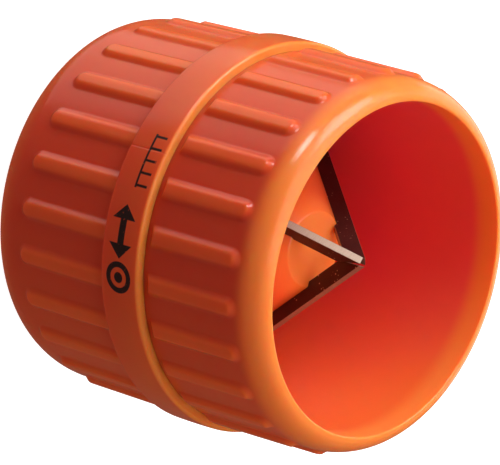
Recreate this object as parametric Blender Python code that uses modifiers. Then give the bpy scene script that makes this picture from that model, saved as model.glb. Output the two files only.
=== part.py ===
"""Inner and outer deburring tool for pipes up to about 40 mm.

A ribbed plastic barrel in two halves with a collar over their joint, a conical blade carrier
clamped between the halves, and three straight steel blades. The blades' outer edges form a
cone in the front mouth, for the inside of a pipe, and their inner edges form a funnel towards
the rear, for the outside.

Frame: +Z is the barrel's axis and points out of the front mouth. The origin is the centre of
the rear rim, so the tool stands on z = 0. Units are metres.
"""
import math

import bmesh
import bpy
from mathutils import Matrix, Vector

MM = 0.001

# Barrel
BODY_LENGTH = 56.0 * MM        # rear rim to mouth plane
BARREL_R = 29.5 * MM           # smooth surface between the ribs, beside the collar
BARREL_TAPER = 0.2 * MM        # how much the radius falls from the collar to each lip
FRONT_WALL = 3.3 * MM          # wall at the mouth
BORE_DRAFT = 0.3 * MM          # how much the front bore narrows down to the carrier
REAR_WALL = 5.0 * MM           # wall at the rear opening
REAR_RIM_WIDTH = 1.9 * MM      # flat face that the tool stands on
FRONT_LIP_DEPTH = 4.7 * MM     # height of the rounding at the mouth
REAR_LIP_DEPTH = 4.9 * MM      # height of the rounding at the rear rim
MOUTH_LAND = 0.15 * MM         # flat edge that is left at the mouth
OPENING_CHAMFER = 0.5 * MM     # bevel inside the rear opening

# Collar
COLLAR_SETBACK = 23.1 * MM     # mouth plane to the collar's front edge
COLLAR_WIDTH = 7.6 * MM
COLLAR_HEIGHT = 1.5 * MM       # how far the collar stands above the barrel
COLLAR_ROUND = 0.5 * MM        # rounding of the collar's outer corners
COLLAR_SEAT_DEPTH = 0.6 * MM   # recess under the collar

# Grip ribs
RIB_COUNT = 25
RIB_WIDTH = 3.9 * MM           # at the foot
RIB_HEIGHT = 0.75 * MM
RIB_FLANK = 0.5 * MM           # bevel between a rib's top and its side
FRONT_RIB_CLEAR = 0.6 * MM     # smooth gap between the collar and the front ribs
FRONT_RIB_INSET = 4.2 * MM     # mouth plane to the round ends of the front ribs
REAR_RIB_INSET = 6.2 * MM      # rear rim to the round ends of the rear ribs
FRONT_RIB_ANGLE = 5.6          # degrees, place of the first front rib
REAR_RIB_ANGLE = 7.9           # degrees, place of the first rear rib

# Fits
GAP = 0.3 * MM                 # between faces of two pieces that touch
SOCKET_WALL = 1.3 * MM         # wall of the rear half outside the spigot
SNAP_HEIGHT = 0.5 * MM         # bead on the spigot
SNAP_HALF_WIDTH = 0.6 * MM
KEY_COUNT = 3
KEY_WIDTH = 4.0 * MM
KEY_DEPTH = 1.0 * MM           # how far a key stands out of the socket's wall

# Blades
BLADE_COUNT = 3
BLADE_ANGLE = 40.2             # degrees between a cutting edge and the barrel's axis
BLADE_RAKE = 12.0              # degrees that a blade is turned about its cutting edge
BLADE_OFFSET = -0.15 * MM      # from the axis to the middle of a cutting edge
BLADE_THICKNESS = 1.2 * MM
BLADE_NOSE_WIDTH = 2.95 * MM   # free part in front of the carrier
BLADE_PROUD = 2.3 * MM         # how far a blade stands out of the cone
BLADE_PROUD_REAR = 1.0 * MM    # how far it stands into the funnel
APEX_DEPTH = 4.5 * MM          # mouth plane to the point where the cutting edges aim
FIRST_BLADE_ANGLE = 12.8       # degrees
TANG_COVER = 0.5 * MM          # carrier material outside the tangs
TANG_HEIGHT = 3.0 * MM

# Carrier
CONE_WALL = 2.6 * MM
HUB_BACK = 10.5 * MM           # apex to the cone's blunt end
HUB_WALL = 2.5 * MM
HUB_ROUND = 0.7 * MM           # rounding round the blunt end
FLANGE_FLOOR = 0.8 * MM        # carrier material under the tangs

TURN_STEPS = 100
ARC_STEPS = 4

# Derived sizes that more than one piece needs
SLOPE = math.tan(math.radians(BLADE_ANGLE))
ACROSS = 1.0 / math.cos(math.radians(BLADE_ANGLE))   # radial size of a width across the slope
MOUTH_R = BARREL_R - BARREL_TAPER - FRONT_WALL
BORE_R = MOUTH_R - BORE_DRAFT
REAR_R = BARREL_R - REAR_WALL
REAR_BORE_R = REAR_R - OPENING_CHAMFER
SEAT_R = BARREL_R - COLLAR_SEAT_DEPTH
SOCKET_R = SEAT_R - SOCKET_WALL
SPIGOT_R = SOCKET_R - GAP
COLLAR_TOP_Z = BODY_LENGTH - COLLAR_SETBACK
COLLAR_BASE_Z = COLLAR_TOP_Z - COLLAR_WIDTH
JOINT_Z = (COLLAR_BASE_Z + COLLAR_TOP_Z) / 2
APEX_Z = BODY_LENGTH - APEX_DEPTH
HUB_Z = APEX_Z - HUB_BACK
TANG_IN_R = BORE_R - GAP
TANG_OUT_R = SPIGOT_R - TANG_COVER
FLANGE_TOP_Z = APEX_Z - (BORE_R + BLADE_PROUD * ACROSS) / SLOPE   # the cone meets the bore
TANG_TOP_Z = FLANGE_TOP_Z - GAP
TANG_BASE_Z = TANG_TOP_Z - TANG_HEIGHT
FLANGE_BASE_Z = TANG_BASE_Z - GAP - FLANGE_FLOOR
SHOULDER_Z = FLANGE_BASE_Z - GAP
SPIGOT_END_Z = FLANGE_TOP_Z + GAP
SNAP_Z = (SPIGOT_END_Z + JOINT_Z) / 2
GROOVE_R = SOCKET_R + SNAP_HEIGHT
KEY_R = SOCKET_R - KEY_DEPTH
KEY_ROOT_R = GROOVE_R + GAP        # a key reaches past the snap groove into the wall
HALF_SHARE = math.pi / BLADE_COUNT
TIP_R = (BLADE_THICKNESS * math.cos(HALF_SHARE) + GAP) / 2 / math.sin(HALF_SHARE)   # tips stay a gap apart
KEY_ANGLE = FIRST_BLADE_ANGLE + 180.0 / BLADE_COUNT

ORANGE = (0.90, 0.22, 0.025)
STEEL = (0.09, 0.07, 0.06)


def clear_scene():
    """Remove what a new scene holds."""
    for item in list(bpy.data.objects):
        bpy.data.objects.remove(item, do_unlink=True)


def collection(name):
    """Return a new collection linked to the scene."""
    group = bpy.data.collections.new(name)
    bpy.context.scene.collection.children.link(group)
    return group


def material(name, colour, roughness, metallic):
    """Return a Principled material."""
    made = bpy.data.materials.new(name)
    made.use_nodes = True
    shader = made.node_tree.nodes["Principled BSDF"]
    shader.inputs["Base Color"].default_value = (*colour, 1.0)
    shader.inputs["Roughness"].default_value = roughness
    shader.inputs["Metallic"].default_value = metallic
    return made


def add_object(name, mesh, group, finish=None):
    """Place a mesh as a named object in a collection."""
    made = bpy.data.objects.new(name, mesh)
    group.objects.link(made)
    if finish is not None:
        mesh.materials.append(finish)
    return made


def arc(centre, radii, start, end):
    """Points of an elliptic arc about (r, z) centre, angles in degrees."""
    points = []
    for step in range(ARC_STEPS + 1):
        angle = math.radians(start + (end - start) * step / ARC_STEPS)
        points.append((centre[0] + radii[0] * math.cos(angle),
                       centre[1] + radii[1] * math.sin(angle)))
    return points


def turned(name, profile, group, finish=None, closed=True):
    """Turn a profile of (r, z) points about +Z.

    The points run down the outer side and back up the inner side, or from the axis and
    back to it when closed is False.
    """
    mesh = bpy.data.meshes.new(name)
    edges = [(i, i + 1) for i in range(len(profile) - 1)]
    if closed:
        edges.append((len(profile) - 1, 0))
    mesh.from_pydata([(r, 0.0, z) for r, z in profile], edges, [])
    made = add_object(name, mesh, group, finish)
    screw = made.modifiers.new("turn", "SCREW")
    screw.angle = math.tau
    screw.steps = TURN_STEPS
    screw.render_steps = TURN_STEPS
    screw.use_merge_vertices = True
    screw.merge_threshold = 0.00001
    screw.use_smooth_shade = True
    return made


def plate_mesh(name, outline, thickness, bevel=0.0):
    """Mesh of a flat outline, given as (x, y) points, thickness along Z and centred on it.

    A bevel takes the corners of both faces in; the outline keeps its size at mid thickness.
    """
    curve = bpy.data.curves.new(name, "CURVE")
    curve.dimensions = "2D"
    curve.fill_mode = "BOTH"
    curve.extrude = thickness / 2 - bevel
    curve.bevel_depth = bevel
    curve.bevel_resolution = 0
    curve.offset = -bevel
    spline = curve.splines.new("POLY")
    spline.points.add(len(outline) - 1)
    for point, (x, y) in zip(spline.points, outline):
        point.co = (x, y, 0.0, 1.0)
    spline.use_cyclic_u = True
    guide = bpy.data.objects.new(name, curve)
    bpy.context.scene.collection.objects.link(guide)
    bpy.context.view_layer.update()
    evaluated = guide.evaluated_get(bpy.context.evaluated_depsgraph_get())
    mesh = bpy.data.meshes.new_from_object(evaluated)
    bpy.data.objects.remove(guide)
    work = bmesh.new()
    work.from_mesh(mesh)
    bmesh.ops.remove_doubles(work, verts=work.verts, dist=0.000001)
    bmesh.ops.recalc_face_normals(work, faces=work.faces)
    work.to_mesh(mesh)
    work.free()
    return mesh


def ring_mesh(name, mesh, places):
    """Mesh with one copy of another mesh at each of the given matrices."""
    work = bmesh.new()
    for place in places:
        copy = bmesh.new()
        copy.from_mesh(mesh)
        bmesh.ops.transform(copy, matrix=place, verts=copy.verts)
        part = bpy.data.meshes.new("copy")
        copy.to_mesh(part)
        copy.free()
        work.from_mesh(part)
        bpy.data.meshes.remove(part)
    made = bpy.data.meshes.new(name)
    work.to_mesh(made)
    work.free()
    return made


def hide_cutter(cutter):
    """Mark an object as a helper of a Boolean."""
    cutter.hide_render = True
    cutter.display_type = "WIRE"


def combine(target, helper, operation):
    """Join a helper to the target, or cut it away."""
    hide_cutter(helper)
    boolean = target.modifiers.new(helper.name, "BOOLEAN")
    boolean.operation = operation
    boolean.object = helper
    boolean.solver = "EXACT"


def turn_places(count, first_angle):
    """Rotations about +Z that share a circle equally, from an angle in degrees."""
    return [Matrix.Rotation(math.radians(first_angle + 360.0 * i / count), 4, "Z")
            for i in range(count)]


def rib_mesh(name, low_z, high_z, round_top):
    """One grip rib that lies along Z at +X, with a round end at the top or the bottom.

    Seen from outside it is a bar whose end at the lip is a half circle. It is a bevelled
    plate whose inner half lies in the barrel's wall, so its foot is its widest place.
    """
    half = RIB_WIDTH / 2
    round_z = high_z - half if round_top else low_z + half
    flat_z = low_z if round_top else high_z
    sweep = 1 if round_top else -1
    outline = [(half, flat_z)]
    for step in range(ARC_STEPS + 1):
        angle = math.pi * step / ARC_STEPS
        outline.append((half * math.cos(angle), round_z + sweep * half * math.sin(angle)))
    outline.append((-half, flat_z))
    plate = plate_mesh(name, outline, 2 * RIB_HEIGHT, RIB_FLANK)
    stand = Matrix.Translation((BARREL_R, 0, 0))
    stand @= Matrix(((0, 0, 1, 0), (1, 0, 0, 0), (0, 1, 0, 0), (0, 0, 0, 1)))
    plate.transform(stand)
    return plate


def key_mesh(name, width, inner_r, outer_r, low_z, high_z):
    """A box at +X between two radii and two heights."""
    mesh = bpy.data.meshes.new(name)
    work = bmesh.new()
    bmesh.ops.create_cube(work, size=1.0)
    size = Vector((outer_r - inner_r, width, high_z - low_z))
    bmesh.ops.scale(work, vec=size, verts=work.verts)
    middle = Vector(((outer_r + inner_r) / 2, 0.0, (low_z + high_z) / 2))
    bmesh.ops.translate(work, vec=middle, verts=work.verts)
    work.to_mesh(mesh)
    work.free()
    return mesh


def key_ring(name, group, grow, low_z, high_z):
    """The keys, or with grow above 0 the room that they need."""
    mesh = key_mesh(name, KEY_WIDTH + 2 * grow, KEY_R - grow, KEY_ROOT_R, low_z, high_z)
    return add_object(name, ring_mesh(name, mesh, turn_places(KEY_COUNT, KEY_ANGLE)), group)


def make_front_shell(group, helpers, finish):
    """Front half of the barrel: lip, bore, collar seat, spigot and snap bead."""
    lip_r = BARREL_R - BARREL_TAPER
    start = MOUTH_R + MOUTH_LAND
    profile = arc((start, BODY_LENGTH - FRONT_LIP_DEPTH), (lip_r - start, FRONT_LIP_DEPTH), 90, 0)
    profile += [(BARREL_R, COLLAR_TOP_Z + GAP), (SEAT_R, COLLAR_TOP_Z + GAP),
                (SEAT_R, JOINT_Z + GAP / 2), (SPIGOT_R, JOINT_Z + GAP / 2),
                (SPIGOT_R, SNAP_Z + SNAP_HALF_WIDTH),
                (SPIGOT_R + SNAP_HEIGHT, SNAP_Z),
                (SPIGOT_R, SNAP_Z - SNAP_HALF_WIDTH),
                (SPIGOT_R, SPIGOT_END_Z), (BORE_R, SPIGOT_END_Z), (MOUTH_R, BODY_LENGTH)]
    shell = turned("front_shell", profile, group, finish)
    rib = rib_mesh("front_rib", COLLAR_TOP_Z + FRONT_RIB_CLEAR, BODY_LENGTH - FRONT_RIB_INSET, True)
    ribs = ring_mesh("front_ribs", rib, turn_places(RIB_COUNT, FRONT_RIB_ANGLE))
    combine(shell, add_object("front_ribs", ribs, helpers), "UNION")
    room = key_ring("front_key_room", helpers, GAP, SPIGOT_END_Z - GAP, JOINT_Z + GAP / 4)
    combine(shell, room, "DIFFERENCE")
    return shell


def make_rear_shell(group, helpers, finish):
    """Rear half: lip, flat rim, rear opening, shoulder, socket, snap groove and keys."""
    lip_r = BARREL_R - BARREL_TAPER
    rim_r = REAR_R + REAR_RIM_WIDTH
    profile = [(SEAT_R, JOINT_Z - GAP / 2), (SEAT_R, COLLAR_BASE_Z - GAP),
               (BARREL_R, COLLAR_BASE_Z - GAP)]
    profile += arc((rim_r, REAR_LIP_DEPTH), (lip_r - rim_r, REAR_LIP_DEPTH), 0, -90)
    profile += [(REAR_R, 0.0), (REAR_BORE_R, OPENING_CHAMFER),
                (REAR_BORE_R, SHOULDER_Z), (SOCKET_R, SHOULDER_Z),
                (SOCKET_R, SNAP_Z - SNAP_HALF_WIDTH), (GROOVE_R, SNAP_Z),
                (SOCKET_R, SNAP_Z + SNAP_HALF_WIDTH), (SOCKET_R, JOINT_Z - GAP / 2)]
    shell = turned("rear_shell", profile, group, finish)
    rib = rib_mesh("rear_rib", REAR_RIB_INSET, COLLAR_BASE_Z - GAP, False)
    ribs = ring_mesh("rear_ribs", rib, turn_places(RIB_COUNT, REAR_RIB_ANGLE))
    combine(shell, add_object("rear_ribs", ribs, helpers), "UNION")
    keys = key_ring("rear_keys", helpers, 0.0, SHOULDER_Z - GAP, JOINT_Z - 2 * GAP)
    combine(shell, keys, "UNION")
    return shell


def make_collar_ring(group, finish):
    """Smooth ring over the joint of the two halves."""
    outer_r = BARREL_R + COLLAR_HEIGHT
    inner_r = SEAT_R + GAP
    corner = (COLLAR_ROUND, COLLAR_ROUND)
    profile = arc((outer_r - COLLAR_ROUND, COLLAR_TOP_Z - COLLAR_ROUND), corner, 90, 0)
    profile += arc((outer_r - COLLAR_ROUND, COLLAR_BASE_Z + COLLAR_ROUND), corner, 0, -90)
    profile += [(inner_r, COLLAR_BASE_Z), (inner_r, COLLAR_TOP_Z)]
    return turned("collar_ring", profile, group, finish)


def edge_r(z, across):
    """Radius at height z of a line parallel to the cutting edge, this far inside it."""
    return (APEX_Z - z) * SLOPE - across * ACROSS


def edge_z(radius, across):
    """Height at a radius of a line parallel to the cutting edge, this far inside it."""
    return APEX_Z - (radius + across * ACROSS) / SLOPE


def blade_outline(grow):
    """Outline of a blade as (r, z) points, made larger all round by grow.

    From the tip down the cutting edge to the tang, round the tang, and back up the inner
    edge, which steps in to the narrow nose inside the carrier's hub.
    """
    wide = BLADE_PROUD + CONE_WALL + BLADE_PROUD_REAR
    tip_r = TIP_R - grow
    step_z = HUB_Z - HUB_WALL / 2 + grow
    nose = BLADE_NOSE_WIDTH + grow
    tang_base = TANG_BASE_Z - grow
    return [(tip_r, edge_z(tip_r, -grow)),
            (TANG_IN_R + grow, edge_z(TANG_IN_R + grow, -grow)),
            (TANG_IN_R + grow, TANG_TOP_Z + grow),
            (TANG_OUT_R + grow, TANG_TOP_Z + grow),
            (TANG_OUT_R + grow, tang_base),
            (edge_r(tang_base, wide + grow), tang_base),
            (edge_r(step_z, wide + grow), step_z),
            (edge_r(step_z, nose), step_z),
            (tip_r, edge_z(tip_r, nose))]


def blade_mesh(name, grow):
    """A blade's mesh at +X: stood in the (r, z) plane, raked about its edge and offset."""
    plate = plate_mesh(name, blade_outline(grow), BLADE_THICKNESS + 2 * grow)
    stand = Matrix(((1, 0, 0, 0), (0, 0, -1, 0), (0, 1, 0, 0), (0, 0, 0, 1)))
    rake = Matrix.Rotation(math.radians(BLADE_RAKE), 4, Vector((SLOPE, 0.0, -1.0)))
    apex = Vector((0.0, 0.0, APEX_Z))
    edge = Vector((0.0, BLADE_OFFSET, APEX_Z))
    plate.transform(Matrix.Translation(edge) @ rake @ Matrix.Translation(-apex) @ stand)
    return plate


def make_carrier(group, helpers, finish):
    """Blunt cone with a funnel inside it and a flange, slotted for the blades and keys.

    The rounding round the blunt end is tangent to the end and to the cone.
    """
    funnel = BLADE_PROUD + CONE_WALL
    round_r = edge_r(HUB_Z, BLADE_PROUD) - HUB_ROUND * (ACROSS - SLOPE)
    profile = [(0.0, HUB_Z)]
    profile += arc((round_r, HUB_Z - HUB_ROUND), (HUB_ROUND, HUB_ROUND), 90, BLADE_ANGLE)
    profile += [(BORE_R, FLANGE_TOP_Z), (SPIGOT_R, FLANGE_TOP_Z), (SPIGOT_R, FLANGE_BASE_Z),
                (REAR_BORE_R, FLANGE_BASE_Z), (REAR_BORE_R, edge_z(REAR_BORE_R, funnel)),
                (edge_r(HUB_Z - HUB_WALL, funnel), HUB_Z - HUB_WALL), (0.0, HUB_Z - HUB_WALL)]
    carrier = turned("blade_carrier", profile, group, finish, closed=False)
    slot = blade_mesh("blade_slot", GAP)
    slots = ring_mesh("blade_slots", slot, turn_places(BLADE_COUNT, FIRST_BLADE_ANGLE))
    combine(carrier, add_object("blade_slots", slots, helpers), "DIFFERENCE")
    room = key_ring("carrier_key_room", helpers, GAP, SHOULDER_Z - GAP, FLANGE_TOP_Z + GAP)
    combine(carrier, room, "DIFFERENCE")
    return carrier


def make_blades(group, finish):
    """The three blades, one mesh turned to three places."""
    mesh = blade_mesh("blade", 0.0)
    mesh.materials.append(finish)
    for number, place in enumerate(turn_places(BLADE_COUNT, FIRST_BLADE_ANGLE), start=1):
        blade = add_object(f"blade_{number}", mesh, group)
        blade.matrix_world = place


def main():
    """Build the whole tool."""
    clear_scene()
    group = collection("deburring_tool")
    helpers = collection("helpers")
    plastic = material("orange_plastic", ORANGE, 0.3, 0.0)
    carrier_plastic = material("carrier_plastic", ORANGE, 0.35, 0.0)
    collar_plastic = material("collar_plastic", ORANGE, 0.3, 0.0)
    steel = material("blade_steel", STEEL, 0.45, 0.9)
    make_front_shell(group, helpers, plastic)
    make_rear_shell(group, helpers, plastic)
    make_collar_ring(group, collar_plastic)
    make_carrier(group, helpers, carrier_plastic)
    make_blades(group, steel)


main()
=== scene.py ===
"""Looks of the inner and outer deburring tool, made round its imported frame.

The barrel's two halves, the collar, the blade carrier and the three blades are remade as
fine surfaces at the frame's places and sizes. +Z is the barrel's axis, out of the front
mouth, and the tool stands on z = 0. Units are metres.
"""
import math

import bmesh
import bpy
import numpy as np
from mathutils import Matrix, Vector


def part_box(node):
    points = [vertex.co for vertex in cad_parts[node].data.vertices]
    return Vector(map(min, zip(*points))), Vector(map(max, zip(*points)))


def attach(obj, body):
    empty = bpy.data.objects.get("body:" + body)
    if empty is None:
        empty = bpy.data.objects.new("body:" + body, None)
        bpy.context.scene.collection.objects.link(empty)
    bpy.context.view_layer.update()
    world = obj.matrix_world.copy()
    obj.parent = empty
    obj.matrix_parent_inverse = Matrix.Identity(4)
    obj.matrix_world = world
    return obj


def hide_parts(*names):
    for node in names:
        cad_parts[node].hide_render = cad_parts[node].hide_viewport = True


MM = 0.001
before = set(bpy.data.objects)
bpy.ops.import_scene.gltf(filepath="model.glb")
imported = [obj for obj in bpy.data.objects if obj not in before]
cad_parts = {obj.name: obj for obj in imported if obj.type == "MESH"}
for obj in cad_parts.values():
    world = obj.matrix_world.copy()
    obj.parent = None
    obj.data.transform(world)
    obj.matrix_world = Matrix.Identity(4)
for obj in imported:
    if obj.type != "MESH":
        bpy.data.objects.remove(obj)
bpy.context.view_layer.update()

# Sizes read from the frame
FRONT_LOW, FRONT_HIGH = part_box("front_shell")
COLLAR_LOW, COLLAR_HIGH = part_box("collar_ring")
CARRIER_LOW, CARRIER_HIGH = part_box("blade_carrier")
LENGTH = FRONT_HIGH.z
COLLAR_R = COLLAR_HIGH.x
COLLAR_BASE = COLLAR_LOW.z
COLLAR_TOP = COLLAR_HIGH.z
SPIGOT_END = FRONT_LOW.z
JOINT = (COLLAR_BASE + COLLAR_TOP) / 2
SPIGOT_R = CARRIER_HIGH.x
HUB_Z = CARRIER_HIGH.z
FLANGE_BASE = CARRIER_LOW.z

# Barrel
GAP = 0.3 * MM                  # between faces of two pieces that touch
HAIRLINE = 0.03 * MM            # seam that shows between the collar and the barrel
BARREL_R = 29.5 * MM            # smooth surface between the ribs, beside the collar
BARREL_TAPER = 0.2 * MM
LIP_R = BARREL_R - BARREL_TAPER
MOUTH_R = 26.0 * MM
SPIGOT_WALL = 1.6 * MM
COLLAR_SEAT = 0.6 * MM          # depth of the recess under the collar
BORE_R = SPIGOT_R - SPIGOT_WALL
SOCKET_R = SPIGOT_R + GAP
SEAT_R = BARREL_R - COLLAR_SEAT
FRONT_LIP = 4.7 * MM            # height of the rounding at the mouth
REAR_LIP = 4.9 * MM             # height of the rounding at the rear rim
REAR_RIM_R = 26.4 * MM          # outer edge of the flat rim
REAR_BORE_R = 24.0 * MM
REAR_CHAMFER = 0.5 * MM
SNAP_Z = (SPIGOT_END + JOINT) / 2
SNAP_HEIGHT = 0.5 * MM
SNAP_HALF = 0.6 * MM
MOUTH_EDGE = 0.25 * MM          # small round at the mouth's inner edge

# Grip ribs
RIB_COUNT = 25
RIB_HALF = 1.95 * MM            # half the width at the foot
RIB_HEIGHT = 0.75 * MM
RIB_FLANK = 1.3 * MM            # width over which a rib rises
RIB_CORNER = 0.7 * MM
RIB_REACH = 1.5 * MM            # ribs are only on surfaces less than this inside the barrel's side
FRONT_RIBS = (COLLAR_TOP + 0.6 * MM, LENGTH - 4.2 * MM)   # low and high ends
REAR_RIBS = (6.2 * MM, COLLAR_BASE + 2.0 * MM)            # the high ends run under the collar
FRONT_RIB_ANGLE = math.radians(5.6)
REAR_RIB_ANGLE = math.radians(7.9)
RIB_PITCH = math.tau / RIB_COUNT
FINE_STEP = 0.16 * MM           # spacing of the rows over a rib's end
ROUND_STEP = 0.18 * MM          # the same over the front ribs' round ends

# Blades and carrier
BLADE_ANGLE = math.radians(40.2)
BLADE_RAKE = math.radians(12.0)  # turn of a blade about its cutting edge
SLOPE = math.tan(BLADE_ANGLE)
ACROSS = 1.0 / math.cos(BLADE_ANGLE)
APEX_Z = LENGTH - 4.5 * MM
BLADE_THICKNESS = 1.2 * MM
BLADE_SIDE = -0.15 * MM         # from the axis to the middle of a cutting edge
FIRST_BLADE = math.radians(12.8)
NOSE_WIDTH = 2.95 * MM          # free part of a blade in front of the carrier
TIP_R = (BLADE_THICKNESS * 0.5 + GAP) / math.sqrt(3.0)    # keeps the tips a gap apart
TANG_HEIGHT = 3.0 * MM
TANG_REACH = 1.1 * MM           # how far a tang reaches past the bore's wall
TANG_OUT_R = BORE_R + TANG_REACH
PROUD = 2.3 * MM                # how far a blade stands out of the cone
PROUD_REAR = 1.0 * MM           # how far it stands into the funnel
CONE_WALL = 2.6 * MM
HUB_WALL = 2.5 * MM
HUB_ROUND = 0.5 * MM
HUB_DOME = 0.1 * MM             # crown of the cone's blunt end


# ---------------------------------------------------------------- surfaces

def grid_mesh(name, points, wrap_rows=True):
    """A mesh from a grid of points shaped (rows, columns, 3).

    Columns run round the axis and always close. Rows close too when wrap_rows is True,
    which makes a ring; otherwise the first and last rows end in a pole each.
    """
    rows, columns = points.shape[:2]
    index = np.arange(rows * columns).reshape(rows, columns)
    upper = index if wrap_rows else index[:-1]
    lower = np.roll(index, -1, axis=0) if wrap_rows else index[1:]
    faces = np.stack([upper, lower, np.roll(lower, -1, axis=1), np.roll(upper, -1, axis=1)], axis=-1)
    faces = faces.reshape(-1, 4)
    vertices = points.reshape(-1, 3)
    if wrap_rows:
        return faces_mesh(name, vertices, faces, ())
    poles = np.array([[0.0, 0.0, points[0, 0, 2]], [0.0, 0.0, points[-1, 0, 2]]])
    first, last = len(vertices), len(vertices) + 1
    top = np.stack([np.full(columns, first), index[0], np.roll(index[0], -1)], axis=-1)
    base = np.stack([np.full(columns, last), np.roll(index[-1], -1), index[-1]], axis=-1)
    return faces_mesh(name, np.vstack([vertices, poles]), faces, np.vstack([top, base]))


def faces_mesh(name, vertices, quads, triangles):
    """A mesh from an array of vertices and arrays of four- and three-cornered faces."""
    mesh = bpy.data.meshes.new(name)
    mesh.from_pydata(vertices.tolist(), [], quads.tolist() + [list(t) for t in triangles])
    mesh.update()
    return mesh


def put(name, mesh, finishes, sharp=40.0):
    """Show a mesh as a piece, smooth except where its faces meet at more than an angle."""
    piece = bpy.data.objects.new(name, mesh)
    bpy.context.scene.collection.objects.link(piece)
    for finish in finishes:
        mesh.materials.append(finish)
    mesh.shade_smooth()
    mesh.set_sharp_from_angle(angle=math.radians(sharp))
    return piece


def arc(centre, radii, start, end, count):
    """Rows (r, z) = centre + (radii * cos, radii * sin) of an angle from start to end, in degrees."""
    angle = np.radians(np.linspace(start, end, count))
    return np.column_stack([centre[0] + radii[0] * np.cos(angle), centre[1] + radii[1] * np.sin(angle)])


def line(start, end, count):
    """Rows (r, z) evenly along a straight line, without its two ends."""
    share = np.linspace(0.0, 1.0, count + 2)[1:-1, None]
    return np.array(start) * (1 - share) + np.array(end) * share


def spun(rows, angles, relief=None):
    """Grid of points: each row (r, z) turned to each angle, as (r cos a, r sin a, z).

    relief(angle, z, r), a height for each point, is added to r.
    """
    radius = np.repeat(rows[:, :1], len(angles), axis=1)
    height = np.repeat(rows[:, 1:], len(angles), axis=1)
    turn = np.repeat(angles[None, :], len(rows), axis=0)
    if relief is not None:
        radius = radius + relief(turn, height, radius)
    return np.stack([radius * np.cos(turn), radius * np.sin(turn), height], axis=-1)


def smooth_step(share):
    """3 s^2 - 2 s^3 of a share held between 0 and 1."""
    share = np.clip(share, 0.0, 1.0)
    return share * share * (3.0 - 2.0 * share)


def rib_angles(first):
    """Angles of the grid's columns: close together on the flanks of each rib, wide between."""
    half = np.array([0.45, 0.8, 0.98, 1.1, 1.22, 1.35, 1.48, 1.6, 1.72, 1.84, 1.95, 2.1, 2.5, 3.05]) * MM
    pitch = np.concatenate([-half[::-1], [0.0], half]) / BARREL_R
    pitch = np.concatenate([pitch, [RIB_PITCH / 2]])
    return (first + RIB_PITCH * np.arange(RIB_COUNT)[:, None] + pitch[None, :]).ravel()


def rib_relief(first, low, high, round_top):
    """Height of the grip ribs as a function of angle and z.

    Seen from outside a rib is a bar with a half-round end at the lip and rounded corners
    at the other end. With d the distance inside that outline, the height is the full
    height times the smooth step of d over the flank's width.
    """
    def relief(turn, height, radius):
        across = (np.mod(turn - first + RIB_PITCH / 2, RIB_PITCH) - RIB_PITCH / 2) * BARREL_R
        to_lip = height - (high - RIB_HALF) if round_top else (low + RIB_HALF) - height
        to_collar = low - height if round_top else height - high
        inside_round = RIB_HALF - np.hypot(across, np.maximum(to_lip, 0.0))
        qx = np.abs(across) - (RIB_HALF - RIB_CORNER)
        qy = to_collar + RIB_CORNER
        outside = np.hypot(np.maximum(qx, 0.0), np.maximum(qy, 0.0)) + np.minimum(np.maximum(qx, qy), 0.0)
        inside = np.minimum(inside_round, RIB_CORNER - outside)
        shown = radius > BARREL_R - RIB_REACH
        return RIB_HEIGHT * smooth_step(inside / RIB_FLANK) * shown
    return relief


def front_shell_rows():
    """Section of the front half: lip, outer side, collar seat, spigot and bore, as (r, z)."""
    start = MOUTH_R + MOUTH_EDGE
    lip = arc((start, LENGTH - FRONT_LIP), (LIP_R - start, FRONT_LIP), 90, 22, 16)
    low, high = FRONT_RIBS
    heights = np.concatenate([np.arange(lip[-1, 1] - 0.2 * MM, high - 2.6 * MM, -ROUND_STEP),
                              np.linspace(high - 2.8 * MM, low + 1.8 * MM, 9),
                              np.arange(low + 1.6 * MM, low - 0.3 * MM, -FINE_STEP),
                              [COLLAR_TOP + 0.2 * MM, COLLAR_TOP + HAIRLINE]])
    lip_z = LENGTH - FRONT_LIP
    rise = np.clip((heights - lip_z) / FRONT_LIP, 0.0, 1.0)
    curved = start + (LIP_R - start) * np.sqrt(1.0 - rise ** 2)
    straight = LIP_R + BARREL_TAPER * (lip_z - heights) / (lip_z - COLLAR_TOP)
    side = np.column_stack([np.where(heights > lip_z, curved, straight), heights])
    hidden = np.array([(SEAT_R, COLLAR_TOP + HAIRLINE), (SEAT_R, JOINT + GAP / 2),
                       (SPIGOT_R, JOINT + GAP / 2), (SPIGOT_R, SNAP_Z + SNAP_HALF),
                       (SPIGOT_R + SNAP_HEIGHT, SNAP_Z), (SPIGOT_R, SNAP_Z - SNAP_HALF),
                       (SPIGOT_R, SPIGOT_END), (BORE_R, SPIGOT_END)])
    bore = line((BORE_R, SPIGOT_END), (MOUTH_R, LENGTH - MOUTH_EDGE), 6)
    edge = arc((start, LENGTH - MOUTH_EDGE), (MOUTH_EDGE, MOUTH_EDGE), 180, 105, 5)
    return np.vstack([lip, side, hidden, bore, edge])


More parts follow.
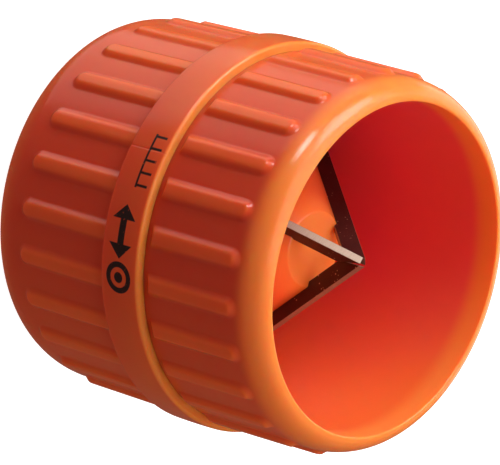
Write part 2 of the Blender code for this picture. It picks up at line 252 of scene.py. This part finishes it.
def rear_shell_rows():
    """Section of the rear half: collar seat, outer side, rear lip, rim, opening and socket."""
    low = REAR_RIBS[0]
    lip = arc((REAR_RIM_R, REAR_LIP), (LIP_R - REAR_RIM_R, REAR_LIP), 0, -90, 18)
    heights = np.concatenate([[COLLAR_BASE - HAIRLINE],
                              np.linspace(COLLAR_BASE - 1.5 * MM, low + 3.0 * MM, 9),
                              np.arange(low + 2.8 * MM, low - 0.3 * MM, -FINE_STEP),
                              [low - 0.6 * MM, REAR_LIP + 0.3 * MM]])
    straight = LIP_R + BARREL_TAPER * (heights - REAR_LIP) / (COLLAR_BASE - REAR_LIP)
    side = np.column_stack([straight, heights])
    shoulder = FLANGE_BASE - GAP
    start = np.array([(SEAT_R, JOINT - GAP / 2), (SEAT_R, COLLAR_BASE - HAIRLINE)])
    inner = np.array([(REAR_BORE_R + REAR_CHAMFER, 0.0), (REAR_BORE_R, REAR_CHAMFER),
                      (REAR_BORE_R, shoulder), (SOCKET_R, shoulder), (SOCKET_R, SNAP_Z - SNAP_HALF),
                      (SOCKET_R + SNAP_HEIGHT, SNAP_Z), (SOCKET_R, SNAP_Z + SNAP_HALF),
                      (SOCKET_R, JOINT - GAP / 2)])
    return np.vstack([start, side, lip, inner])


def make_front_barrel(finish):
    """Front half of the barrel as one ring surface with its ribs."""
    relief = rib_relief(FRONT_RIB_ANGLE, *FRONT_RIBS, True)
    points = spun(front_shell_rows(), rib_angles(FRONT_RIB_ANGLE), relief)
    piece = put("front_barrel", grid_mesh("front_barrel", points), [finish])
    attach(piece, "root")
    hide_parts("front_shell")


def make_rear_barrel(finish):
    """Rear half of the barrel as one ring surface with its ribs."""
    relief = rib_relief(REAR_RIB_ANGLE, *REAR_RIBS, False)
    points = spun(rear_shell_rows(), rib_angles(REAR_RIB_ANGLE), relief)
    piece = put("rear_barrel", grid_mesh("rear_barrel", points), [finish])
    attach(piece, "root")
    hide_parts("rear_shell")


COLLAR_CORNER = 0.55 * MM
COLLAR_CROWN = 0.04 * MM
PARTING_ANGLE = math.radians(255.6)
PARTING_DEPTH = 0.05 * MM
PARTING_HALF = 0.12 * MM
PARTING_SPAN = 0.3 * MM          # closely spaced columns on each side of the parting line
PARTING_CLEAR = 0.35 * MM        # nearest evenly spaced column


def make_collar(finish):
    """The smooth collar: rounded corners, a very low crown and a hair-fine parting line.

    The crown adds its height times 1 - t^2, with t from -1 to 1 across the width. The
    parting line is a groove whose depth falls off as exp(-d^2), with d the distance from
    its angle in half widths.
    """
    corner = COLLAR_CORNER
    side_r = COLLAR_R - COLLAR_CROWN
    inner = SEAT_R + GAP
    top = arc((side_r - corner, COLLAR_TOP - corner), (corner, corner), 90, 0, 9)
    base = arc((side_r - corner, COLLAR_BASE + corner), (corner, corner), 0, -90, 9)
    side = line(top[-1], base[0], 14)
    rows = np.vstack([top, side, base, [(inner, COLLAR_BASE), (inner, COLLAR_TOP)]])
    middle, half = (COLLAR_TOP + COLLAR_BASE) / 2, (COLLAR_TOP - COLLAR_BASE) / 2 - corner
    even = np.linspace(0.0, math.tau, 360, endpoint=False)
    fine = PARTING_ANGLE + np.linspace(-PARTING_SPAN, PARTING_SPAN, 13) / COLLAR_R
    clear = np.abs(even - PARTING_ANGLE) > PARTING_CLEAR / COLLAR_R
    angles = np.sort(np.concatenate([even[clear], fine]))

    def relief(turn, height, radius):
        across = np.clip((height - middle) / half, -1.0, 1.0)
        away = (turn - PARTING_ANGLE) * COLLAR_R / PARTING_HALF
        outer = radius > inner + 0.5 * MM
        return (COLLAR_CROWN * (1.0 - across ** 2) - PARTING_DEPTH * np.exp(-away ** 2)) * outer

    piece = put("collar", grid_mesh("collar", spun(rows, angles, relief)), [finish])
    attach(piece, "root")
    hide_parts("collar_ring")


def edge_r(z, across):
    """Radius at height z of a line parallel to the cutting edges, this far inside them."""
    return (APEX_Z - z) * SLOPE - across * ACROSS


def edge_z(radius, across):
    """Height at a radius of a line parallel to the cutting edges, this far inside them."""
    return APEX_Z - (radius + across * ACROSS) / SLOPE


def make_cone(finish):
    """The blade carrier: blunt domed cone outside, funnel inside, flange at the foot."""
    funnel = PROUD + CONE_WALL
    flange_top = SPIGOT_END - GAP
    hub_base = HUB_Z - HUB_WALL
    face_r = edge_r(HUB_Z - HUB_DOME, PROUD) - HUB_ROUND * (ACROSS - SLOPE)
    share = np.linspace(0.08, 1.0, 8)
    dome = np.column_stack([face_r * share, HUB_Z - HUB_DOME * share ** 2])
    shoulder = arc((face_r, HUB_Z - HUB_DOME - HUB_ROUND), (HUB_ROUND, HUB_ROUND), 90,
                   math.degrees(BLADE_ANGLE), 8)[1:]
    cone = line(shoulder[-1], (BORE_R, flange_top), 12)
    foot = np.array([(BORE_R - 0.05 * MM, flange_top), (SPIGOT_R, flange_top), (SPIGOT_R, FLANGE_BASE),
                     (REAR_BORE_R, FLANGE_BASE), (REAR_BORE_R, edge_z(REAR_BORE_R, funnel))])
    inner = line(foot[-1], (edge_r(hub_base, funnel), hub_base), 10)
    tip = np.array([(edge_r(hub_base, funnel), hub_base), (edge_r(hub_base, funnel) * 0.5, hub_base)])
    rows = np.vstack([dome, shoulder, cone, foot, inner, tip])
    angles = np.linspace(0.0, math.tau, 288, endpoint=False)
    piece = put("carrier_cone", grid_mesh("carrier_cone", spun(rows, angles), wrap_rows=False), [finish])
    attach(piece, "root")
    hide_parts("blade_carrier")


BLADE_EDGE = 0.04 * MM    # bevel along a blade's edges
SHARP_BLADE = 25.0       # degrees between faces from which an edge of a blade is sharp


def blade_outline():
    """A blade's outline as (r, z): cutting edge, tang, inner edge with its step, and tip."""
    wide = PROUD + CONE_WALL + PROUD_REAR
    tang_top = SPIGOT_END - 2 * GAP
    tang_base = tang_top - TANG_HEIGHT
    step_z = HUB_Z - HUB_WALL / 2
    return np.array([(TIP_R, edge_z(TIP_R, 0.0)), (BORE_R - GAP, edge_z(BORE_R - GAP, 0.0)),
                     (BORE_R - GAP, tang_top), (TANG_OUT_R, tang_top), (TANG_OUT_R, tang_base),
                     (edge_r(tang_base, wide), tang_base), (edge_r(step_z, wide), step_z),
                     (edge_r(step_z, NOSE_WIDTH), step_z), (TIP_R, edge_z(TIP_R, NOSE_WIDTH))])


def make_blade(number, turn, face_finish, ground_finish):
    """One blade: its outline drawn out to the strip's thickness, with fine bevelled edges.

    A point of the outline lies at the apex plus its run along the cutting edge plus its
    rise across the edge, where the rise's direction is turned about the edge by the rake.
    Sides are the blackened faces; the strip's narrow faces along both long edges and the
    tip are ground bright.
    """
    outline = blade_outline()
    count = len(outline)
    half = BLADE_THICKNESS / 2
    radial = np.array([math.cos(turn), math.sin(turn), 0.0])
    side = np.array([-math.sin(turn), math.cos(turn), 0.0])
    axis = np.array([0.0, 0.0, 1.0])
    along = math.sin(BLADE_ANGLE) * radial - math.cos(BLADE_ANGLE) * axis
    outward = math.cos(BLADE_ANGLE) * radial + math.sin(BLADE_ANGLE) * axis
    raked_out = math.cos(BLADE_RAKE) * outward - math.sin(BLADE_RAKE) * side
    raked_side = math.cos(BLADE_RAKE) * side + math.sin(BLADE_RAKE) * outward
    from_apex = outline - np.array([0.0, APEX_Z])
    run = from_apex @ np.array([math.sin(BLADE_ANGLE), -math.cos(BLADE_ANGLE)])
    rise = from_apex @ np.array([math.cos(BLADE_ANGLE), math.sin(BLADE_ANGLE)])
    middle = APEX_Z * axis + BLADE_SIDE * side + run[:, None] * along + rise[:, None] * raked_out
    vertices = np.vstack([middle + half * raked_side, middle - half * raked_side])
    ring = np.arange(count)
    following = np.roll(ring, -1)
    narrow = np.column_stack([ring, following, following + count, ring + count])
    mesh = bpy.data.meshes.new(f"steel_blade_{number}")
    mesh.from_pydata(vertices.tolist(), [], [ring[::-1].tolist(), (ring + count).tolist()] + narrow.tolist())
    material_index = np.concatenate([[0, 0], np.ones(count, int)])
    mesh.polygons.foreach_set("material_index", material_index)
    mesh.update()
    work = bmesh.new()
    work.from_mesh(mesh)
    bmesh.ops.recalc_face_normals(work, faces=work.faces)
    work.to_mesh(mesh)
    work.free()
    piece = put(f"steel_blade_{number}", mesh, [face_finish, ground_finish], sharp=SHARP_BLADE)
    bevel = piece.modifiers.new("edge", "BEVEL")
    bevel.width = BLADE_EDGE
    bevel.segments = 2
    bevel.limit_method = "ANGLE"
    bevel.angle_limit = math.radians(SHARP_BLADE)
    bevel.material = 1
    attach(piece, "root")
    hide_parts(f"blade_{number}")


# ---------------------------------------------------------------- finishes

class Value:
    """A number or vector that a node puts out. Arithmetic on it adds Math nodes."""

    def __init__(self, finish, socket):
        self.finish = finish
        self.socket = socket

    def math(self, operation, *others):
        """The result of a Math node on this value and others."""
        return self.finish.node("ShaderNodeMath", {"operation": operation},
                                dict(enumerate((self,) + others)))[0]

    def __add__(self, other):
        return self.math("ADD", other)

    def __sub__(self, other):
        return self.math("SUBTRACT", other)

    def __mul__(self, other):
        return self.math("MULTIPLY", other)

    def __truediv__(self, other):
        return self.math("DIVIDE", other)

    def __rsub__(self, other):
        return self.finish.node("ShaderNodeMath", {"operation": "SUBTRACT"}, {0: other, 1: self})[0]

    __radd__ = __add__
    __rmul__ = __mul__

    def power(self, exponent):
        """This value to a power."""
        return self.math("POWER", exponent)

    def larger(self, other):
        """The larger of two values."""
        return self.math("MAXIMUM", other)

    def smaller(self, other):
        """The smaller of two values."""
        return self.math("MINIMUM", other)

    def size(self):
        """This value without its sign."""
        return self.math("ABSOLUTE")

    def ramp(self, start, end):
        """0 at start, 1 at end, smooth between."""
        return self.finish.node("ShaderNodeMapRange", {"interpolation_type": "SMOOTHSTEP"},
                                {"Value": self, "From Min": start, "From Max": end})[0]


class Finish:
    """A node material under a Principled shader."""

    def __init__(self, name):
        self.material = bpy.data.materials.new(name)
        self.material.use_nodes = True
        self.tree = self.material.node_tree
        self.shader = self.tree.nodes["Principled BSDF"]

    def node(self, kind, settings=None, sockets=None):
        """Add a node, set its settings, then its sockets by name or number; give its outputs."""
        made = self.tree.nodes.new(kind)
        for key, value in (settings or {}).items():
            setattr(made, key, value)
        for key, value in (sockets or {}).items():
            self.feed(made.inputs[key], value)
        return [Value(self, socket) for socket in made.outputs]

    def feed(self, socket, value):
        """Link a value to a socket, or set the socket to a number or colour."""
        if isinstance(value, Value):
            self.tree.links.new(value.socket, socket)
        else:
            socket.default_value = value

    def set(self, **values):
        """Feed the shader's sockets; underscores stand for spaces."""
        for key, value in values.items():
            self.feed(self.shader.inputs[key.replace("_", " ")], value)

    def place(self):
        """Object coordinates as a vector."""
        return self.node("ShaderNodeTexCoord")[3]

    def parts(self, vector):
        """A vector's x, y and z."""
        return self.node("ShaderNodeSeparateXYZ", None, {0: vector})

    def noise(self, vector, scale, detail=2.0, roughness=0.5):
        """Noise between 0 and 1 on a vector."""
        return self.node("ShaderNodeTexNoise", None, {"Vector": vector, "Scale": scale, "Detail": detail,
                                                      "Roughness": roughness})[0]

    def stretched(self, vector, scale):
        """A vector with its axes scaled apart."""
        return self.node("ShaderNodeMapping", None, {"Vector": vector, "Scale": scale})[0]

    def blend(self, factor, first, second):
        """A colour between two others."""
        return self.node("ShaderNodeMix", {"data_type": "RGBA"}, {0: factor, 6: first, 7: second})[2]

    def bump(self, height, strength, distance):
        """A normal from a height."""
        return self.node("ShaderNodeBump", None, {"Height": height, "Strength": strength,
                                                  "Distance": distance})[0]


DEEP_RED = (0.66, 0.042, 0.030, 1.0)       # painted shade in the valleys between the ribs
BORE_RED = (0.92, 0.055, 0.120, 1.0)       # the same painted shade inside the bore
ORANGE = (0.90, 0.185, 0.040, 1.0)         # painted light on the crests, and on the bore's lit side towards +x
PAINTED_GLOW_ORANGE = (0.97, 0.290, 0.060, 1.0)    # painted glow of light through the lips and edges
PRINT_BLACK = (0.012, 0.008, 0.008, 1.0)

# Noise scales, per metre
CLOUD_SCALE = 70.0                         # mottled depth of the colour
SKIN_SCALE = 900.0                         # fine moulded skin
FLOW_SCALE = (260.0, 260.0, 30.0)          # flow marks, drawn out along the axis
SCUFF_SCALE = (500.0, 500.0, 90.0)
WORN_SCALE = 1500.0                        # pinholes in the print

PLASTIC_ROUGHNESS = 0.20
SCUFF_ROUGHNESS = 0.12                     # added on the crests of the ribs
GLOW_DEPTH = 2.0 * MM                      # how deep red light spreads in the plastic


def painted_side_light(x):
    """Painted light: how much oranger the plastic is painted towards +x and -x."""
    return (x / BARREL_R).power(2.0) * 0.6


def base_plastic(name, tone_of, painted_glow_of, bore_of=None):
    """Glossy, slightly translucent orange moulding: mottled depth, moulded skin, light scuffs.

    All from 0 to 1: tone_of(radius, x, z) gives how orange a point is, which on the barrel and collar is
    painted light and shade, painted_glow_of(radius, z) how much painted glow of light it gets, and
    bore_of(radius) whether it is inside the bore.
    """
    finish = Finish(name)
    place = finish.place()
    x, y, z = finish.parts(place)
    radius = (x * x + y * y).power(0.5)
    cloud = finish.noise(place, CLOUD_SCALE, 3.0)
    skin = finish.noise(place, SKIN_SCALE, 2.0)
    flow = finish.noise(finish.stretched(place, FLOW_SCALE), 1.0, 2.0)
    tone = (tone_of(radius, x, z) + (cloud - 0.5) * 0.2).larger(0.0).smaller(1.0)
    # The blend from red to orange paints light and shade; the glow colour paints light shining through the
    # plastic
    deep = finish.blend(bore_of(radius), DEEP_RED, BORE_RED) if bore_of else DEEP_RED
    colour = finish.blend(painted_glow_of(radius, z), finish.blend(tone, deep, ORANGE), PAINTED_GLOW_ORANGE)
    crest = (radius - (BARREL_R + 0.35 * MM)).ramp(0.0, 0.4 * MM)
    scuff = finish.noise(finish.stretched(place, SCUFF_SCALE), 1.0, 4.0, 0.7).ramp(0.6, 0.85)
    uneven = (skin - 0.5) * 0.08
    rough = PLASTIC_ROUGHNESS + uneven + crest * scuff * SCUFF_ROUGHNESS + (flow - 0.5) * 0.06
    height = skin * 0.35 + flow * 0.65
    finish.set(Base_Color=colour, Roughness=rough, Normal=finish.bump(height, 0.12, 0.08 * MM),
               IOR=1.45, Subsurface_Weight=1.0, Subsurface_Radius=(1.0, 0.25, 0.08),
               Subsurface_Scale=GLOW_DEPTH)
    return finish, place, (x, y, z), colour, rough


def barrel_plastic():
    """Barrel: painted shade makes it red in the valleys and deep in the bore, painted light orange on the
    ribs and on the bore's +x side, and a painted glow lights the lips.
    """
    def bore_of(radius):
        return 1.0 - (radius - MOUTH_R).ramp(0.1 * MM, 0.6 * MM)

    def tone_of(radius, x, z):
        # Painted light on the crests and towards +x and -x, painted shade in the valleys
        rise = (radius - BARREL_R).ramp(0.0, 0.6 * MM)
        inside = bore_of(radius)
        # Painted shade deeper in the bore, painted light on the bore's side towards +x
        mouth = 1.0 - (LENGTH - z).ramp(0.0, 26.0 * MM)
        bore_tone = 0.15 + mouth * 0.25 + x.ramp(-0.2 * BARREL_R, 0.7 * BARREL_R) * 0.65
        return (0.25 + rise * 0.4 + painted_side_light(x)) * (1.0 - inside) + inside * bore_tone

    def painted_glow_of(radius, z):
        # Painted glow of light through the mouth's lip, and half as much at the rear lip
        front = (z - (LENGTH - 5.5 * MM)).ramp(0.0, 3.5 * MM)
        rear = (REAR_LIP - z).ramp(0.0, REAR_LIP) * 0.5
        return front + rear
    return base_plastic("barrel_plastic", tone_of, painted_glow_of, bore_of)[0].material


def carrier_plastic():
    """Carrier: evenly orange, a little redder towards its foot."""
    def tone_of(radius, x, z):
        return 0.85 - (radius / SPIGOT_R).power(2.0) * 0.5

    def painted_glow_of(radius, z):
        # Painted glow towards the blunt end of the cone
        return (z - (HUB_Z - 4.0 * MM)).ramp(0.0, 4.0 * MM) * 0.6
    return base_plastic("carrier_plastic", tone_of, painted_glow_of)[0].material


# The collar's print: places in degrees round the axis, sizes in millimetres
RING_PLACE = 293.0
ARROW_PLACE = 279.8
SCALE_PLACE = 258.8
SCALE_RISE = 1.6           # of the tick scale above the collar's middle
RING_R, RING_HALF, CORE_R = 2.05, 0.45, 0.85
SHAFT_HALF = (2.2, 0.65)
HEAD_REACH, HEAD_FOOT = 4.2, 1.9
TICK_HALF, TICK_REACH = 0.2, 1.1
RULE_HALF = (4.4, 0.2)
PRINT_SOFT = 0.06          # half width of the print's soft edge


def collar_plastic():
    """Orange plastic with a small dark mark: a pipe ring, a double arrow and a tick scale.

    The mark is drawn in the unrolled collar: u along the circumference and v along the
    axis, in millimetres, from the angle and height of a point.
    """
    def tone_of(radius, x, z):
        # Painted light towards +x and -x and towards the collar's top edge
        return 0.36 + painted_side_light(x) + (z - COLLAR_BASE).ramp(0.0, COLLAR_TOP - COLLAR_BASE) * 0.2

    def painted_glow_of(radius, z):
        # Painted glow along the collar's top edge
        return (z - (COLLAR_TOP - 0.6 * MM)).ramp(0.0, 0.5 * MM)

    finish, place, (x, y, z), colour, rough = base_plastic("collar_plastic", tone_of, painted_glow_of)
    angle = finish.node("ShaderNodeMath", {"operation": "ARCTAN2"}, {0: y, 1: x})[0]
    per_turn = COLLAR_R / MM
    middle = (COLLAR_BASE + COLLAR_TOP) / 2

    def at(degrees, height):
        """Distances u and v in millimetres from a point of the unrolled collar."""
        return (angle - math.radians(degrees - 360.0)) * per_turn, (z - height) / MM

    def inside(distance):
        """1 where a signed distance is negative, with a soft printed edge."""
        return 1.0 - distance.ramp(-PRINT_SOFT, PRINT_SOFT)

    def bar(u, v, half_u, half_v):
        """Signed distance to a bar."""
        return (u.size() - half_u).larger(v.size() - half_v)

    u, v = at(RING_PLACE, middle)
    away = (u * u + v * v).power(0.5)
    ring = (away - RING_R).size() - RING_HALF
    core = away - CORE_R
    u, v = at(ARROW_PLACE, middle)
    shaft = bar(u, v, *SHAFT_HALF)
    head = (u.size() + v.size() - HEAD_REACH).larger(HEAD_FOOT - u.size())
    u, v = at(SCALE_PLACE, middle + SCALE_RISE * MM)
    # ping-pong between 0 and 1 puts a tick every 2 mm; the 40 keeps its input positive
    step = finish.node("ShaderNodeMath", {"operation": "PINGPONG"}, {0: u + 40.0, 1: 1.0})[0]
    ticks = (step - TICK_HALF).larger(u.size() - RULE_HALF[0]).larger(v.size() - TICK_REACH)
    rule = bar(u, v + TICK_REACH, *RULE_HALF)
    mark = ring.smaller(core).smaller(shaft).smaller(head).smaller(ticks).smaller(rule)
    outer = ((x * x + y * y).power(0.5) - (COLLAR_R - 0.4 * MM)).ramp(0.0, 0.1 * MM)
    worn = finish.noise(place, WORN_SCALE, 3.0).ramp(0.22, 0.36)
    ink = inside(mark) * outer * worn
    finish.set(Base_Color=finish.blend(ink, colour, PRINT_BLACK), Roughness=rough + ink * 0.2)
    return finish.material


def blackened_steel():
    """Blued steel faces: near-black brown, faint grain along the strip, small bright specks."""
    finish = Finish("blackened_steel")
    place = finish.place()
    grain = finish.noise(place, 2600.0, 3.0, 0.6)
    cloud = finish.noise(place, 260.0, 2.0)
    speck = finish.node("ShaderNodeTexVoronoi", {"feature": "F1"}, {"Vector": place, "Scale": 1500.0})[0]
    spots = (1.0 - speck.ramp(0.10, 0.26)) * finish.noise(place, 330.0, 1.0).ramp(0.52, 0.6)
    dark = finish.blend(cloud, (0.045, 0.016, 0.013, 1.0), (0.085, 0.034, 0.026, 1.0))
    colour = finish.blend(spots, dark, (0.55, 0.38, 0.26, 1.0))
    finish.set(Base_Color=colour, Metallic=0.55, Roughness=0.42 + (grain - 0.5) * 0.2,
               Normal=finish.bump(grain, 0.25, 0.02 * MM))
    return finish.material


def ground_steel():
    """Ground edges: bright steel with fine scratches across the edge."""
    finish = Finish("ground_steel")
    place = finish.place()
    grain = finish.noise(finish.stretched(place, (400.0, 400.0, 9000.0)), 1.0, 3.0, 0.6)
    colour = finish.blend(grain, (0.24, 0.17, 0.12, 1.0), (0.44, 0.36, 0.29, 1.0))
    finish.set(Base_Color=colour, Metallic=0.85, Roughness=0.5 + (grain - 0.5) * 0.2,
               Normal=finish.bump(grain, 0.3, 0.01 * MM))
    return finish.material


# ---------------------------------------------------------------- stage

CAMERA_RIGHT = Vector((-0.2725, 0.6176, 0.738)).normalized()
CAMERA_BACK = Vector((0.0, -0.767, 0.642)).normalized()
CAMERA_UP = CAMERA_BACK.cross(CAMERA_RIGHT).normalized()
CAMERA_PLACE = Vector((0.0002, -0.5245, 0.4107 + LENGTH))
CAMERA_LENS = 316.8      # millimetres, on a sensor 36 wide


def make_camera():
    """A long lens from the front and above, rolled so that the barrel lies across the view."""
    data = bpy.data.cameras.new("camera")
    data.sensor_width = 36.0
    data.lens = CAMERA_LENS
    data.clip_start = 0.01
    data.clip_end = 20.0
    camera = bpy.data.objects.new("camera", data)
    bpy.context.scene.collection.objects.link(camera)
    right = CAMERA_UP.cross(CAMERA_BACK).normalized()
    turn = Matrix((right, CAMERA_UP, CAMERA_BACK)).transposed()
    camera.matrix_world = Matrix.Translation(CAMERA_PLACE) @ turn.to_4x4()
    bpy.context.scene.camera = camera


def make_light(name, up, right, back, distance, size, power, shine=True, fill=True):
    """A square soft light, placed by its shares of the view's up, right and back.

    Without shine it leaves no reflection on the surfaces, and without fill it leaves
    only reflections.
    """
    middle = Vector((0.0, 0.0, LENGTH / 2))
    toward = (CAMERA_UP * up + CAMERA_RIGHT * right + CAMERA_BACK * back).normalized()
    data = bpy.data.lights.new(name, "AREA")
    data.size = size
    data.energy = power
    light = bpy.data.objects.new(name, data)
    bpy.context.scene.collection.objects.link(light)
    light.location = middle + toward * distance
    light.rotation_euler = toward.to_track_quat("Z", "Y").to_euler()
    light.visible_glossy = shine
    light.visible_diffuse = fill


FLOOR_REACH = 3.0
FLOOR_GAP = 0.05 * MM    # keeps the rear rim's flat face clear of the floor
FLOOR_GLOW = 0.97
AMBIENT = (1.0, 0.46, 0.36, 1.0)
AMBIENT_STRENGTH = 0.20


def make_stage():
    """A plain pale floor under soft studio light.

    The camera sees the floor, but it neither reflects in the tool nor lights or shades it.
    """
    mesh = bpy.data.meshes.new("floor")
    corners = np.array([(-1, -1), (1, -1), (1, 1), (-1, 1)]) * FLOOR_REACH
    mesh.from_pydata([(x, y, -FLOOR_GAP) for x, y in corners.tolist()], [], [(0, 1, 2, 3)])
    floor = bpy.data.objects.new("floor", mesh)
    bpy.context.scene.collection.objects.link(floor)
    finish = Finish("pale_floor")
    finish.set(Base_Color=(0.5, 0.5, 0.5, 1.0), Roughness=0.9, Emission_Color=(1.0, 1.0, 1.0, 1.0),
               Emission_Strength=FLOOR_GLOW)
    mesh.materials.append(finish.material)
    floor.visible_diffuse = False
    floor.visible_glossy = False
    floor.visible_shadow = False
    world = bpy.data.worlds.new("studio")
    bpy.context.scene.world = world
    world.use_nodes = True
    background = world.node_tree.nodes["Background"]
    background.inputs["Color"].default_value = AMBIENT
    background.inputs["Strength"].default_value = AMBIENT_STRENGTH
    make_light("key", 0.72, 0.62, 0.40, 0.7, 0.40, 2.8)
    make_light("front", 0.30, 0.78, 0.62, 0.6, 0.90, 3.8)
    make_light("glint", 0.84, -0.04, 0.54, 0.7, 0.18, 1.6, fill=False)
    make_light("top", 0.95, -0.25, -0.25, 0.8, 0.80, 1.6)
    make_light("left", 0.10, -0.90, -0.40, 0.8, 0.80, 1.6, shine=False)
    make_light("below", -0.70, 0.65, 0.30, 0.8, 0.80, 2.4, shine=False)
    make_light("edge", 0.10, 0.75, -0.65, 0.8, 0.80, 2.4)
    bpy.context.scene.view_settings.view_transform = "Standard"


make_camera()
orange = barrel_plastic()
make_front_barrel(orange)
make_rear_barrel(orange)
make_collar(collar_plastic())
make_cone(carrier_plastic())
blackened, ground = blackened_steel(), ground_steel()
for number in (1, 2, 3):
    make_blade(number, FIRST_BLADE + math.tau * (number - 1) / 3, blackened, ground)
make_stage()
